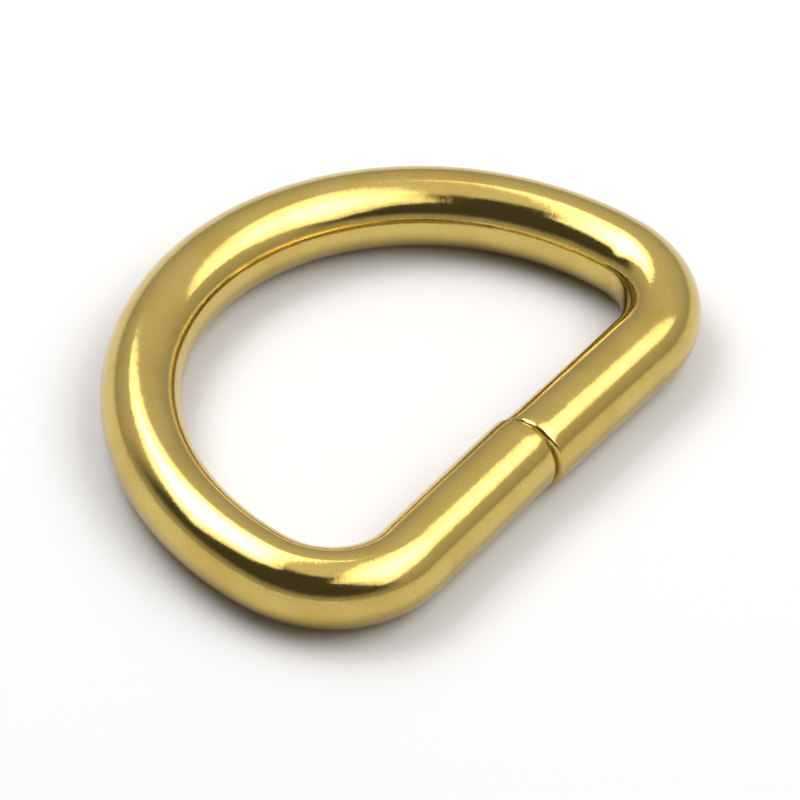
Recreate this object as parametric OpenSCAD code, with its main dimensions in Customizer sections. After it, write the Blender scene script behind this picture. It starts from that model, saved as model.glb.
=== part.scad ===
// D ring: one round wire bent into a D, left open at a butt joint in the middle of the bar.
// The ring lies flat. X runs along the straight bar, +Y points from the bar to the crown
// of the bow, +Z is up, and the origin is under the middle of the ring's outline.
// All sizes are in millimetres and all angles in degrees.

/* [Wire] */
// Diameter of the round wire
wire_d = 5; // [3:0.1:6]

/* [Opening] */
// Width of the opening inside the wire, along the bar, which is the width of the strap
inner_w = 32; // [20:0.5:52]
// Inner radius of the two corner bends
corner_r = 3.6; // [2:0.1:6]
// Straight wire between each corner bend and the half circle of the bow, which sets the depth
leg_length = 0.2; // [0.1:0.1:16]

/* [Joint] */
// Gap between the two wire ends that face each other in the bar
joint_gap = 0.2; // [0.1:0.05:1]
// Chamfer round the edge of each wire end
end_chamfer = 0.3; // [0.1:0.05:0.8]

/* [Hidden] */

// Smoothness of the round wire and of its bends
$fn = 64;

// Bend radii on the wire's centre line
corner_bend = corner_r + wire_d / 2;
bow_bend = inner_w / 2 + wire_d / 2;

// Depth inside the wire, from the bar to the crown of the bow, and over the outside
inner_depth = corner_r + leg_length + inner_w / 2;
outer_depth = inner_depth + 2 * wire_d;

// Where the bends have their centres, and the bar its centre line
bar_y = wire_d / 2 - outer_depth / 2;
corner_x = bow_bend - corner_bend;
corner_y = bar_y + corner_bend;
bow_y = corner_y + leg_length;

// A round bend of the wire about the Z axis, between two directions
module bend(centre_radius, from, to) {
    rotate([0, 0, from])
        rotate_extrude(angle = to - from)
            translate([centre_radius, 0])
                circle(d = wire_d);
}

// The half circle over the crown, which joins the two legs
module bow() {
    translate([0, bow_y])
        bend(bow_bend, 0, 180);
}

// The straight leg on the +X side
module leg() {
    translate([bow_bend, corner_y])
        rotate([-90, 0, 0])
            cylinder(h = leg_length, d = wire_d);
}

// The corner bend on the +X side
module corner() {
    translate([corner_x, corner_y])
        bend(corner_bend, -90, 0);
}

// The +X half of the bar, from the corner to its chamfered wire end at the joint
module bar_half() {
    full_length = corner_x - joint_gap / 2 - end_chamfer;
    translate([corner_x, bar_y])
        rotate([0, -90, 0]) {
            cylinder(h = full_length, d = wire_d);
            translate([0, 0, full_length])
                cylinder(h = end_chamfer, d1 = wire_d, d2 = wire_d - 2 * end_chamfer);
        }
}

// Everything on the +X side of the crown
module side() {
    leg();
    corner();
    bar_half();
}

// The whole bent wire, which lies on its own thickness
module wire_ring() {
    color("goldenrod")
        translate([0, 0, wire_d / 2]) {
            bow();
            side();
            mirror([1, 0, 0])
                side();
        }
}

wire_ring();
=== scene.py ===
# %% [markdown]
# A D ring is one round brass wire, bent into a D and left open at a butt joint in the middle
# of its straight bar. It lies flat on a pale studio floor. The lesson makes it the way a
# workshop does: a round section, run along a bar, two tight corners and a wide bow, then the
# two cut ends, and last the small faults and the drawn finish that make metal look real.

# %% Load the measured model
import math
import random

import bmesh
import bpy
from mathutils import Matrix, Quaternion, Vector, noise


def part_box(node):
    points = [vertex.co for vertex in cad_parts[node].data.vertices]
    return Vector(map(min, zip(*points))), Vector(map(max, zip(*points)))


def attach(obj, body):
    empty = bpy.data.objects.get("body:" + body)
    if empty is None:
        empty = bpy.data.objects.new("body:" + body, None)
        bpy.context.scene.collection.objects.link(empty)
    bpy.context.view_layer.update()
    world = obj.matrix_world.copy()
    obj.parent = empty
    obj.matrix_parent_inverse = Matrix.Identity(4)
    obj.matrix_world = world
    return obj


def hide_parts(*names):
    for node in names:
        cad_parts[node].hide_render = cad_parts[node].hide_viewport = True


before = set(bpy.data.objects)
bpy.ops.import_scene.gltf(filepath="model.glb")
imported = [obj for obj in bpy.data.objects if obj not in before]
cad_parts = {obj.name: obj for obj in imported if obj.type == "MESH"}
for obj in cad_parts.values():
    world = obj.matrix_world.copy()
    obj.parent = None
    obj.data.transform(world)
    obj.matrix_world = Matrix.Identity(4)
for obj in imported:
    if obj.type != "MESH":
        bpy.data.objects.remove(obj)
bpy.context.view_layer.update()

# %% [markdown]
# Every length follows from a few that can be measured on the real ring. The model's box gives
# three of them: its height is the wire's diameter, its length is the bow's diameter over the
# wire, and its low side is where the bar lies. Only the tight corner's radius is stated here.

# %% Sizes, in metres
MM = 0.001
box_low, box_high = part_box("wire_ring")
wire_d = box_high.z - box_low.z
wire_r = wire_d / 2
corner_bend = 6.1 * MM
leg_length = 0.2 * MM
bow_bend = (box_high.x - box_low.x) / 2 - wire_r
bar_y = box_low.y + wire_r
corner_x = bow_bend - corner_bend
corner_y = bar_y + corner_bend
bow_y = corner_y + leg_length
print(f"wire {wire_d / MM:.2f} mm thick")
print(f"bends to the wire's middle: bow {bow_bend / MM:.2f} mm, corner {corner_bend / MM:.2f} mm")

# %% [markdown]
# The camera comes early, because every later choice is judged through it. A long lens from far
# away flattens the perspective, as product photographs do. A look-at rotation points the lens,
# and one more turn about the view axis gives the slight tilt of a hand-held shot.

# %% Camera
camera_azimuth = math.radians(-57.75)
camera_elevation = math.radians(43.0)
camera_distance = 0.5807
camera_tilt = math.radians(5.7)
aim = Vector((-1.1 * MM, -3.6 * MM, wire_r))

toward_camera = Vector((
    math.sin(camera_azimuth) * math.cos(camera_elevation),
    -math.cos(camera_azimuth) * math.cos(camera_elevation),
    math.sin(camera_elevation),
))
camera = bpy.data.objects.new("camera", bpy.data.cameras.new("camera"))
bpy.context.scene.collection.objects.link(camera)
camera.location = aim + toward_camera * camera_distance
camera.rotation_mode = "QUATERNION"
camera.rotation_quaternion = (
    (-toward_camera).to_track_quat("-Z", "Y") @ Quaternion((0, 0, 1), camera_tilt)
)
camera.data.sensor_width = 36
camera.data.lens = 427.8
camera.data.clip_start = 0.01
camera.data.clip_end = 10
bpy.context.scene.camera = camera
print("camera at", [round(c, 4) for c in camera.location], "m")

# %% [markdown]
# The floor is a shallow round dish, so that no edge and no horizon shows from any side. Its
# profile is one vertex, extruded outwards, then spun up a quarter bend, and the whole profile
# is spun round the middle. A plane would be easier, but its far edge would cut the low views.

# %% Floor
floor_radius = 0.95
floor_sweep = 0.3
floor_steps = 96

bm = bmesh.new()
rim = bm.verts.new((0, 0, 0))
grown = bmesh.ops.extrude_vert_indiv(bm, verts=[rim])
bmesh.ops.translate(bm, verts=grown["verts"], vec=(floor_radius, 0, 0))
bmesh.ops.spin(
    bm, geom=grown["verts"], cent=(floor_radius, 0, floor_sweep), axis=(0, -1, 0),
    angle=math.radians(55), steps=24,
)
bmesh.ops.spin(
    bm, geom=bm.verts[:] + bm.edges[:], cent=(0, 0, 0), axis=(0, 0, 1),
    angle=math.tau, steps=floor_steps, use_merge=True,
)
bmesh.ops.remove_doubles(bm, verts=bm.verts[:], dist=0.01 * MM)
bmesh.ops.recalc_face_normals(bm, faces=bm.faces[:])
for face in bm.faces:
    face.smooth = True
floor_mesh = bpy.data.meshes.new("floor")
bm.to_mesh(floor_mesh)
bm.free()
floor = bpy.data.objects.new("floor", floor_mesh)
bpy.context.scene.collection.objects.link(floor)
print("floor faces:", len(floor_mesh.polygons))

# %% [markdown]
# A node material is a small graph. This helper adds one node, sets what it is given, and
# wires its inputs, so that each material below reads as a list of steps.

# %% Node helper
def add_node(tree, kind, inputs=None, **settings):
    """A new node of that kind; inputs maps a socket's name or number to a value or a socket."""
    node = tree.nodes.new(kind)
    for name, value in settings.items():
        setattr(node, name, value)
    for key, value in (inputs or {}).items():
        if isinstance(value, bpy.types.NodeSocket):
            tree.links.new(value, node.inputs[key])
        else:
            node.inputs[key].default_value = value
    return node


def new_material(name):
    """An empty node material, its tree and its Principled shader, wired to the output."""
    material = bpy.data.materials.new(name)
    material.use_nodes = True
    tree = material.node_tree
    tree.nodes.clear()
    shader = add_node(tree, "ShaderNodeBsdfPrincipled")
    add_node(tree, "ShaderNodeOutputMaterial", {"Surface": shader.outputs["BSDF"]})
    return material, tree, shader


def mottle(tree, coordinate, scale, detail=2.0, rough=0.5):
    """The value of a noise texture on a coordinate; scale is in spots for each metre."""
    texture = add_node(
        tree, "ShaderNodeTexNoise",
        {"Vector": coordinate, "Scale": scale, "Detail": detail, "Roughness": rough},
    )
    return texture.outputs["Fac"]


def remap(tree, value, low, high, to_low, to_high, smooth=False):
    """A value from low to high, turned into one from to_low to to_high."""
    node = add_node(
        tree, "ShaderNodeMapRange",
        {"Value": value, "From Min": low, "From Max": high, "To Min": to_low, "To Max": to_high},
        interpolation_type="SMOOTHSTEP" if smooth else "LINEAR",
    )
    return node.outputs["Result"]


def blend_colours(tree, share, first, second):
    """A colour that goes from first to second as share goes from 0 to 1."""
    node = add_node(tree, "ShaderNodeMix", data_type="RGBA")
    for name, value in {"Factor": share, "A": first, "B": second}.items():
        socket = node.inputs[name]
        if isinstance(value, bpy.types.NodeSocket):
            tree.links.new(value, socket)
        else:
            socket.default_value = value
    return node.outputs["Result"]


def turned(colour, alpha=1.0):
    """A colour as the four numbers that a socket holds."""
    return (*colour, alpha)

# %% [markdown]
# The floor's finish is matt white paper: almost one colour, with a very faint cloud in it, so
# that the soft shadow under the wire stays the only thing the eye finds there. Far from the
# ring the paper glows a little, as a backdrop does that has lamps of its own. Without that the
# low views would end in a dark wall, because the lamps that light the ring stand close to it.

# %% Floor material
paper_cool = (0.560, 0.562, 0.578)
paper_pale = (0.575, 0.577, 0.590)
backdrop_glow = (1.0, 0.995, 0.985)
glow_starts = 0.04
glow_is_full = 0.36

paper, tree, shader = new_material("white_paper")
position = add_node(tree, "ShaderNodeTexCoord").outputs["Object"]
cloud = mottle(tree, position, 14.0)
paper_colour = blend_colours(tree, cloud, turned(paper_cool), turned(paper_pale))
tree.links.new(paper_colour, shader.inputs["Base Color"])
away = add_node(tree, "ShaderNodeVectorMath", {0: position}, operation="LENGTH").outputs["Value"]
backdrop = remap(tree, away, glow_starts, glow_is_full, 0.0, 1.0, smooth=True)
glow_colour = blend_colours(tree, backdrop, turned((0, 0, 0)), turned(backdrop_glow))
tree.links.new(glow_colour, shader.inputs["Emission Color"])
shader.inputs["Emission Strength"].default_value = 0.55
shader.inputs["Roughness"].default_value = 0.9
shader.inputs["Specular IOR Level"].default_value = 0.1
floor_mesh.materials.append(paper)
print("floor material:", len(tree.nodes), "nodes")

# %% [markdown]
# Polished metal shows hardly any colour of its own: it shows the room. So the lights are laid
# out by what the wire mirrors: one large softbox high to one side, a smaller and brighter one
# across from it, and a dim room behind the camera, which gives the dark bands. Area lights
# are seen in mirrors, so the same two lights make the highlights and the soft shadows. A real
# softbox is brightest in its middle, where the lamp sits behind the cloth, so each light has
# a few nodes that dim it towards its edges, and the highlights fade there too.

# %% Softbox cloth
softbox_turn = 5


def dim_edges(light, edge):
    """Dims a light from 1 in its middle to edge at its rim."""
    light.use_nodes = True
    tree = light.node_tree
    tree.nodes.clear()
    place = add_node(tree, "ShaderNodeNewGeometry").outputs["Parametric"]
    place = add_node(
        tree, "ShaderNodeVectorMath", {0: place, 1: (0.5, 0.5, 0)}, operation="SUBTRACT"
    ).outputs["Vector"]
    place = add_node(tree, "ShaderNodeVectorMath", {0: place}, operation="ABSOLUTE")
    place = add_node(tree, "ShaderNodeSeparateXYZ", {0: place.outputs["Vector"]})
    off_middle = add_node(
        tree, "ShaderNodeMath", {0: place.outputs["X"], 1: place.outputs["Y"]}, operation="MAXIMUM"
    ).outputs[0]
    glow = remap(tree, off_middle, 0.05, 0.48, 1.0, edge, smooth=True)
    emission = add_node(tree, "ShaderNodeEmission", {"Strength": glow})
    add_node(tree, "ShaderNodeOutputLight", {"Surface": emission.outputs["Emission"]})


# %% Softboxes
def softbox(name, azimuth, elevation, distance, width, height, radiance, edge, colour):
    """An area light that faces the ring. Azimuth 0 is +X and 90 is +Y, in degrees."""
    light = bpy.data.lights.new(name, "AREA")
    light.shape = "RECTANGLE"
    light.size = width
    light.size_y = height
    light.energy = radiance * math.pi * width * height
    light.color = colour
    dim_edges(light, edge)
    lamp = bpy.data.objects.new(name, light)
    bpy.context.scene.collection.objects.link(lamp)
    a, e = math.radians(azimuth), math.radians(elevation)
    toward_lamp = Vector((math.cos(a) * math.cos(e), math.sin(a) * math.cos(e), math.sin(e)))
    lamp.location = toward_lamp * distance
    lamp.rotation_mode = "QUATERNION"
    lamp.rotation_quaternion = (
        (-toward_lamp).to_track_quat("-Z", "Y")
        @ Quaternion((0, 0, 1), math.radians(softbox_turn))
    )
    print(f"{name}: {width:.2f} by {height:.2f} m, {light.energy:.2f} W")


softbox(
    "warm_softbox", azimuth=-63, elevation=58, distance=0.26, width=0.35, height=0.22,
    radiance=4.8, edge=0.27, colour=(1.0, 0.98, 0.94),
)
softbox(
    "white_softbox", azimuth=94, elevation=58.5, distance=0.26, width=0.30, height=0.19,
    radiance=8.5, edge=0.16, colour=(1.0, 1.0, 1.0),
)

# %% [markdown]
# The room itself is the world. Its brightness depends on the direction only: pale near the
# table, brighter towards the ceiling, and a dark wall on the side that the camera stands on.
# The wall is three ramps multiplied: above the table, below the ceiling, and on that side.

# %% Room light
room_low = (0.42, 0.41, 0.39)
room_high = (1.0, 0.95, 0.90)
room_dark = (0.075, 0.075, 0.07)
dark_azimuth = math.radians(-172)

world = bpy.data.worlds.new("room")
bpy.context.scene.world = world
world.use_nodes = True
tree = world.node_tree
tree.nodes.clear()
direction = add_node(tree, "ShaderNodeTexCoord").outputs["Generated"]
height = add_node(tree, "ShaderNodeSeparateXYZ", {0: direction}).outputs["Z"]
toward_wall = (math.cos(dark_azimuth), math.sin(dark_azimuth), 0)
facing = add_node(
    tree, "ShaderNodeVectorMath", {0: direction, 1: toward_wall}, operation="DOT_PRODUCT"
).outputs["Value"]
above_table = remap(tree, height, 0.15, 0.42, 0.0, 1.0, smooth=True)
below_ceiling = remap(tree, height, 0.94, 0.99, 1.0, 0.0, smooth=True)
on_that_side = remap(tree, facing, -0.1, 0.3, 0.0, 1.0, smooth=True)
wall = add_node(tree, "ShaderNodeMath", {0: above_table, 1: below_ceiling}, operation="MULTIPLY")
wall = add_node(tree, "ShaderNodeMath", {0: wall.outputs[0], 1: on_that_side}, operation="MULTIPLY")
upward = remap(tree, height, 0.0, 1.0, 0.0, 1.0)
pale_room = blend_colours(tree, upward, turned(room_low), turned(room_high))
room_colour = blend_colours(tree, wall.outputs[0], pale_room, turned(room_dark))
background = add_node(tree, "ShaderNodeBackground", {"Color": room_colour, "Strength": 1.0})
add_node(tree, "ShaderNodeOutputWorld", {"Surface": background.outputs["Background"]})
bpy.context.scene.view_settings.view_transform = "Standard"
print("room light:", len(tree.nodes), "nodes")

# %% [markdown]
# The wire starts as one ring of vertices at the joint, standing across the bar. Each vertex
# keeps a note of where it lay while the wire was still straight: how far along, how far
# across and how high. The drawn finish follows those notes later, round every bend.

# %% Start the wire
section_points = 96
joint_gap = 0.09 * MM
end_round = 0.32 * MM

bm = bmesh.new()
drawn = bm.verts.layers.float_vector.new("drawn")
start_x = joint_gap / 2
stand_up = Matrix.Translation((start_x, bar_y, wire_r)) @ Matrix.Rotation(math.radians(90), 4, "Y")
bmesh.ops.create_circle(
    bm, cap_ends=False, segments=section_points, radius=wire_r, matrix=stand_up
)
for vertex in bm.verts:
    vertex[drawn] = Vector((0, vertex.co.y - bar_y, vertex.co.z - wire_r))
rim = bm.edges[:]
print("section:", len(bm.verts), "points round", round(wire_d / MM, 2), "mm")

# %% [markdown]
# One tool runs the wire along. A spin turns its rim about an axis in many short steps, which
# makes a bend, and with no turn but a shift at each step it makes a straight stretch. The
# short steps give the mesh the points that the small dents need later, and each new vertex
# gets the length so far written into its note.

# %% Run and bend
along_step = 0.25 * MM
wire = {"length": 0.0, "heading": 0.0}


def sweep(rim, length, steps, angle=0.0, centre=(0, 0, 0)):
    """Draws the open rim on, straight or about an upright axis, and returns the new rim."""
    made_before = len(bm.verts)
    shift = Vector((math.cos(wire["heading"]), math.sin(wire["heading"]), 0)) * length / steps
    made = bmesh.ops.spin(
        bm, geom=rim, cent=centre, axis=(0, 0, 1), dvec=(0, 0, 0) if angle else shift,
        angle=angle, steps=steps, use_merge=False, use_duplicate=False,
    )["geom_last"]
    for count, vertex in enumerate(bm.verts[:][made_before:]):
        step = count // section_points + 1
        vertex[drawn] = Vector((wire["length"] + length * step / steps, *vertex[drawn].yz))
    wire["length"] += length
    wire["heading"] += angle
    return [edge for edge in made if isinstance(edge, bmesh.types.BMEdge) and edge.is_boundary]


def run(rim, length, step=along_step):
    """A straight stretch of that length."""
    return sweep(rim, length, max(1, round(length / step)))


def bend(rim, centre, radius, angle):
    """A bend through that angle, with that radius to the middle of the wire."""
    return sweep(rim, radius * angle, round(radius * angle / along_step), angle, centre)


# %% [markdown]
# Now the D, all in one run. The bender springs the second corner a little too far, so that
# half of the bar leans inwards and its end stands a quarter of a millimetre off the other.

# %% Bend the D
overbend = math.radians(1.3)
quarter = math.radians(90)
first_step = 1.0 * MM
half_bar = corner_x - start_x

rim = run(rim, first_step, first_step)
rim = run(rim, half_bar - first_step)
rim = bend(rim, (corner_x, corner_y, 0), corner_bend, quarter)
rim = run(rim, leg_length)
rim = bend(rim, (0, bow_y, 0), bow_bend, 2 * quarter)
rim = run(rim, leg_length)
rim = bend(rim, (-corner_x, corner_y, 0), corner_bend, quarter + overbend)
rim = run(rim, half_bar - first_step)
rim = run(rim, first_step, first_step)
wire_length = wire["length"]
print(f"wire length {wire_length / MM:.1f} mm, {len(bm.verts)} vertices")

# %% [markdown]
# Each end is closed with one face. A bevel rounds its edge as the tumbling drum does, insets
# lay rings on it, and a poke closes the middle, so that no face has more than four corners.

# %% Close and round the ends
end_rings = 5


def close_end(at_length):
    """Caps the open rim at that length, rounds its edge and lays rings on the cap."""
    rim = [
        e for e in bm.edges
        if e.is_boundary and abs(e.verts[0][drawn].x - at_length) < 0.01 * MM
    ]
    bmesh.ops.contextual_create(bm, geom=rim)
    bmesh.ops.bevel(
        bm, geom=rim, offset=end_round, offset_type="OFFSET", segments=5, profile=0.5,
        affect="EDGES", material=-1, clamp_overlap=True,
    )
    cap = max((f for f in bm.faces if len(f.verts) > 4), key=lambda f: len(f.verts))
    ring_width = (wire_r - end_round) / (end_rings + 1)
    for _ in range(end_rings):
        bmesh.ops.inset_region(bm, faces=[cap], thickness=ring_width, use_even_offset=True)
    bmesh.ops.poke(bm, faces=[cap])


far_rim = [v.co for v in bm.verts if abs(v[drawn].x - wire_length) < 0.01 * MM]
far_centre = sum(far_rim, Vector()) / section_points
close_end(0)
close_end(wire_length)
bmesh.ops.recalc_face_normals(bm, faces=bm.faces[:])
print("step between the ends in mm:", round((far_centre.y - bar_y) / MM, 2))

# %% [markdown]
# A shear cuts the wire a little out of square, and the two cuts never match. So each end is
# leaned back where the real gap opens, which is low down on the outer side, and its face is
# given the faint ridges of the tear. The new vertices also get their place in the wire's note.

# %% Shear the ends
cut = bm.verts.layers.float.new("cut")


def ramp(value, low, high):
    """0 below low, 1 above high, and smooth between them."""
    share = min(1.0, max(0.0, (value - low) / (high - low)))
    return share * share * (3 - 2 * share)


def shear_end(centre, heading, into, at_length, lean, ridge):
    """Leans and roughens one cut end; into is 1 if the wire lies ahead of it, or else -1."""
    ahead = Vector((math.cos(heading), math.sin(heading), 0))
    left = Vector((-math.sin(heading), math.cos(heading), 0))
    sheared = 0
    for vertex in bm.verts:
        place = vertex.co - centre
        inward = place.dot(ahead) * into
        if place.length > wire_d or not -0.01 * MM < inward < 0.9 * first_step:
            continue
        across, up = place.dot(left), place.z
        vertex[drawn] = Vector((at_length + inward * into, across, up))
        rim_share = math.hypot(across, up) / (wire_r - end_round)
        back = lean * max(0.0, 0.3 - 0.8 * across / wire_r - 0.5 * up / wire_r)
        back += ridge * (0.5 + noise.noise(Vector((across * 900, up * 3500, at_length * 100))))
        vertex.co += ahead * into * back * max(0.0, 1 - inward / first_step)
        vertex[cut] = 1 - ramp(rim_share, 0.85, 1.05)
        sheared += 1
    print("vertices of this end:", sheared)


shear_end(Vector((start_x, bar_y, wire_r)), 0, 1, 0, 0.16 * MM, 0.03 * MM)
shear_end(far_centre, wire["heading"], -1, wire_length, 0.07 * MM, 0.04 * MM)

# %% [markdown]
# Real wire isn't a perfect tube. It is flattened a little on the outside of a tight bend, its
# surface wanders by a few thousandths of a millimetre, and handling leaves small flats. Each
# is a move of vertices along their normals, always inwards, so the wire never grows.

# %% Bends and small faults
corner_length = corner_bend * quarter
corner_middles = (half_bar + corner_length / 2, wire_length - half_bar - corner_length / 2)
bow_start = half_bar + corner_length
bow_end = wire_length - half_bar - corner_length
bent = bm.verts.layers.float.new("bent")


def corner_share(along):
    """How much of a tight corner this place is, from 0 to 1."""
    away = min(abs(along - middle) for middle in corner_middles)
    return 1 - ramp(away, 0.25 * corner_length, 0.62 * corner_length)


flat_count = 60
random_flats = random.Random(7)
flats = [
    (
        random_flats.uniform(0, wire_length), random_flats.uniform(0, math.tau),
        random_flats.uniform(0.25, 0.7) * MM, random_flats.uniform(0.2, 0.5) * MM,
        random_flats.uniform(0.003, 0.009) * MM,
    )
    for _ in range(flat_count)
]

bm.normal_update()
moves = []
for vertex in bm.verts:
    along, across, up = vertex[drawn]
    corner = corner_share(along)
    vertex[bent] = max(corner, 0.35 * ramp(along, bow_start, bow_start + 4 * MM)
                       * ramp(bow_end - along, 0, 4 * MM))
    outside = max(0.0, -across / wire_r)
    depth = 0.045 * MM * corner * outside ** 2
    depth += 0.0035 * MM * (1 + noise.noise(vertex[drawn] * 330))
    depth += 0.0016 * MM * (1 + noise.noise(vertex[drawn] * 1100 + Vector((5, 5, 5))))
    around = math.atan2(up, across)
    for flat_along, flat_around, flat_length, flat_width, flat_depth in flats:
        if abs(along - flat_along) > flat_length:
            continue
        turn = (around - flat_around + math.pi) % math.tau - math.pi
        reach = math.hypot((along - flat_along) / flat_length, turn * wire_r / flat_width)
        depth += flat_depth * (1 - ramp(reach, 0.2, 1.0))
    moves.append((vertex, vertex.normal * -depth))
for vertex, move in moves:
    vertex.co += move
print("deepest move in mm:", round(max(move.length for _, move in moves) / MM, 4))

# %% [markdown]
# The mesh becomes an object as it stands: its place is in its vertices, and the object sits at
# the origin. Every face is smooth, because the rounded edges are real geometry.

# %% Make the wire
for face in bm.faces:
    face.smooth = True
ring_mesh = bpy.data.meshes.new("brass_wire")
bm.to_mesh(ring_mesh)
bm.free()
ring = bpy.data.objects.new("brass_wire", ring_mesh)
bpy.context.scene.collection.objects.link(ring)
print("triangles:", sum(len(p.vertices) - 2 for p in ring_mesh.polygons))

# %% [markdown]
# Brass is a metal, so its colour is the colour of its mirror image. The finish reads the note
# on each vertex, as if the wire were still straight. The colour itself is a bright brass with
# faint clouds of tarnish, and darker where the shear tore the two ends.

# %% Brass: colour
brass_bright = (0.600, 0.455, 0.137)
brass_tarnished = (0.535, 0.375, 0.100)
brass_torn = (0.40, 0.27, 0.075)

brass, tree, shader = new_material("drawn_brass")
shader.inputs["Metallic"].default_value = 1.0
ring_mesh.materials.append(brass)


def note(name, output):
    """A note that the mesh holds for each vertex."""
    return add_node(tree, "ShaderNodeAttribute", attribute_name=name).outputs[output]


def stretched(coordinate, scale):
    """A coordinate with its own scale along, across and up."""
    node = add_node(tree, "ShaderNodeMapping", {"Vector": coordinate, "Scale": scale})
    return node.outputs["Vector"]


straight = note("drawn", "Vector")
bending = note("bent", "Fac")
tearing = note("cut", "Fac")
tarnish = remap(tree, mottle(tree, straight, 260.0, 4.0, 0.6), 0.42, 0.72, 0.0, 0.8, smooth=True)
grain = mottle(tree, straight, 5200.0, 3.0, 0.6)
speckle = remap(tree, grain, 0.52, 0.68, 0.0, 0.55, smooth=True)
colour = blend_colours(tree, tarnish, turned(brass_bright), turned(brass_tarnished))
colour = blend_colours(tree, speckle, colour, turned(brass_tarnished))
colour = blend_colours(tree, tearing, colour, turned(brass_torn))
tree.links.new(colour, shader.inputs["Base Color"])

# %% [markdown]
# The gloss is high but not even. A fine grain scatters it a little, tarnish more, and the torn
# faces of the two ends the most. So the mirror image stays sharp in one place and softens in
# the next, which a single number for the roughness could not do.

# %% Brass: gloss
draw_lines = mottle(tree, stretched(straight, (70, 4200, 4200)), 1.0, 3.0, 0.55)
gloss = remap(tree, grain, 0.3, 0.7, 0.055, 0.155)
for dulling, most in ((tarnish, 0.06), (tearing, 0.25)):
    duller = remap(tree, dulling, 0.0, 1.0, 0.0, most)
    gloss = add_node(tree, "ShaderNodeMath", {0: gloss, 1: duller}, operation="ADD").outputs[0]
tree.links.new(gloss, shader.inputs["Roughness"])

# %% [markdown]
# The finest forms are too small for the mesh, so they are bump layers of a few thousandths of
# a millimetre: a slow wander, the lines of the drawing die, a grain, stretch marks where the
# wire is bent, and a few shallow pits. Each layer starts from the normal of the one before.

# %% Brass: relief
stretch_marks = mottle(tree, stretched(straight, (5200, 420, 420)), 1.0, 2.0, 0.6)
pit_cells = add_node(
    tree, "ShaderNodeTexVoronoi", {"Vector": straight, "Scale": 1100.0}, feature="F1"
).outputs["Distance"]
pits = remap(tree, pit_cells, 0.02, 0.16, 0.0, 1.0, smooth=True)
pit_depth = remap(tree, mottle(tree, straight, 420.0, 2.0, 0.5), 0.5, 0.75, 0.0, 1.0)
wander = mottle(tree, straight, 900.0, 2.0, 0.5)


def relief(height, depth, below=None, strength=1.0):
    """One layer of bump; depth is the height of its full range, in metres."""
    inputs = {"Height": height, "Distance": depth, "Strength": strength}
    if below is not None:
        inputs["Normal"] = below
    return add_node(tree, "ShaderNodeBump", inputs).outputs["Normal"]


surface = relief(wander, 0.008 * MM)
surface = relief(draw_lines, 0.0034 * MM, surface)
surface = relief(grain, 0.0019 * MM, surface)
surface = relief(stretch_marks, 0.0035 * MM, surface, bending)
surface = relief(pits, 0.003 * MM, surface, pit_depth)
tree.links.new(surface, shader.inputs["Normal"])
print("brass:", len(tree.nodes), "nodes")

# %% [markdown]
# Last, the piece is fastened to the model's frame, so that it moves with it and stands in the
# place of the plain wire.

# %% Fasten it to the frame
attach(ring, "root")
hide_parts("wire_ring")
